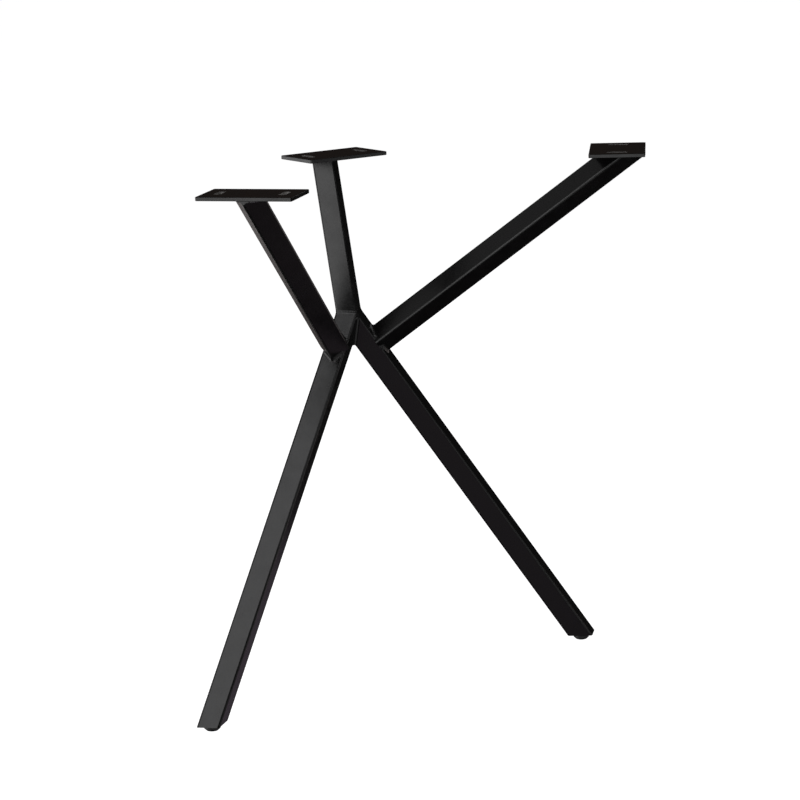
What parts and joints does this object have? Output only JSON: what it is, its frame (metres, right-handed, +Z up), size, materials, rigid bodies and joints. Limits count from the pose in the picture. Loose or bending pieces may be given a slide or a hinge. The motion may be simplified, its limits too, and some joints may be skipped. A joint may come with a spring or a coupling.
{
  "type": "y-shaped table leg",
  "caption": "Welded square-tube table leg: splayed legs meet a rear arm at a hub, side arms branch off the legs, slotted plates take the table top, levelling feet below.",
  "frame": {"origin": "on the floor, under the middle of the leg's overall box", "axes": "+Z up; +X to the right of the middle plane; +Y from the front, where the side arms reach, to the rear arm"},
  "size_m": [0.7142, 0.3682, 0.72],
  "materials": {
    "powder_coat": "fine satin black powder coat",
    "zinc_steel": "bright zinc plating",
    "pad_plastic": "moulded black nylon"
  },
  "bodies": {
    "frame": {"left_leg_tube": "powder_coat", "right_leg_tube": "powder_coat", "rear_arm_tube": "powder_coat", "left_arm_tube": "powder_coat", "right_arm_tube": "powder_coat", "left_plate": "powder_coat", "right_plate": "powder_coat", "rear_plate": "powder_coat", "left_end_plate": "powder_coat", "right_end_plate": "powder_coat", "hub_weld": "powder_coat", "left_arm_weld": "powder_coat", "right_arm_weld": "powder_coat", "left_plate_weld": "powder_coat", "right_plate_weld": "powder_coat", "rear_plate_weld": "powder_coat", "left_foot_nut": "zinc_steel", "right_foot_nut": "zinc_steel"},
    "left_foot": {"left_foot_stud": "zinc_steel", "left_foot_pad": "pad_plastic"},
    "right_foot": {"right_foot_stud": "zinc_steel", "right_foot_pad": "pad_plastic"}
  },
  "joints": [
    {"name": "left_foot_height", "type": "slide", "parent": "frame", "child": "left_foot", "axis": [0, 0, -1], "range_m": [0, 0.01]},
    {"name": "right_foot_height", "type": "slide", "parent": "frame", "child": "right_foot", "axis": [0, 0, -1], "range_m": [0, 0.01]}
  ]
}
